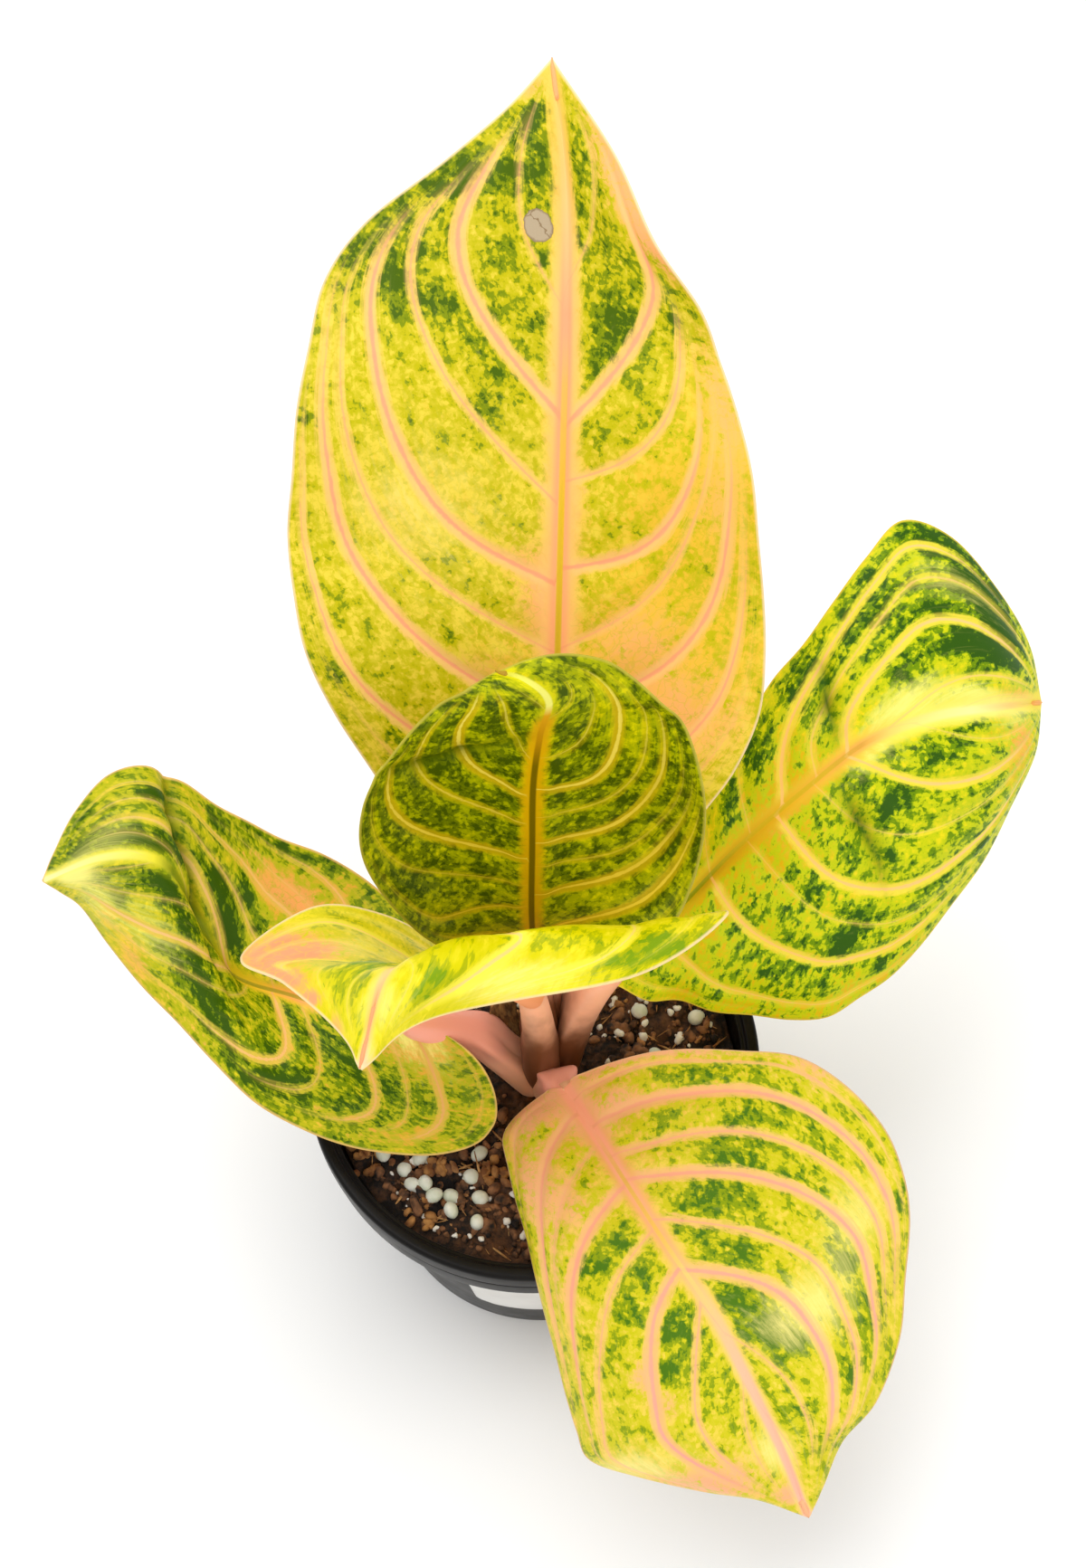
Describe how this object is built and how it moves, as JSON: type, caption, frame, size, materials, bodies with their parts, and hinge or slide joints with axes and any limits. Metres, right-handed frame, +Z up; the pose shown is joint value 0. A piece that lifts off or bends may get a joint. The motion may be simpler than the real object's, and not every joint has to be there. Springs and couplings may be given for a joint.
{
  "type": "potted chinese evergreen",
  "caption": "Round nursery pot of potting mix with a short-stemmed foliage plant: broad pointed leaves, yellow and green with pink veins, on pink stalks.",
  "frame": {"origin": "middle of the pot's flat base, on the surface it stands on", "axes": "+Z up along the pot's axis; +Y towards the tallest leaf at the back; the low leaf hangs over the rim towards -Y"},
  "size_m": [0.2375, 0.2607, 0.2493],
  "materials": {
    "pot_plastic": "satin",
    "label_paper": "matte",
    "potting_mix": "matte",
    "pink_stalk": "satin",
    "dry_sheath": "matte",
    "leaf_back": "satin",
    "leaf_young": "satin",
    "leaf_front": "satin",
    "leaf_right": "satin",
    "leaf_left": "satin",
    "leaf_low": "satin"
  },
  "bodies": {
    "root": {"pot": "pot_plastic", "label": "label_paper", "soil": "potting_mix", "stem": "pink_stalk", "dry_sheath": "dry_sheath", "leaf_back": "leaf_back", "leaf_young": "leaf_young", "leaf_front": "leaf_front", "leaf_right": "leaf_right", "leaf_left": "leaf_left", "leaf_low": "leaf_low"}
  },
  "joints": []
}
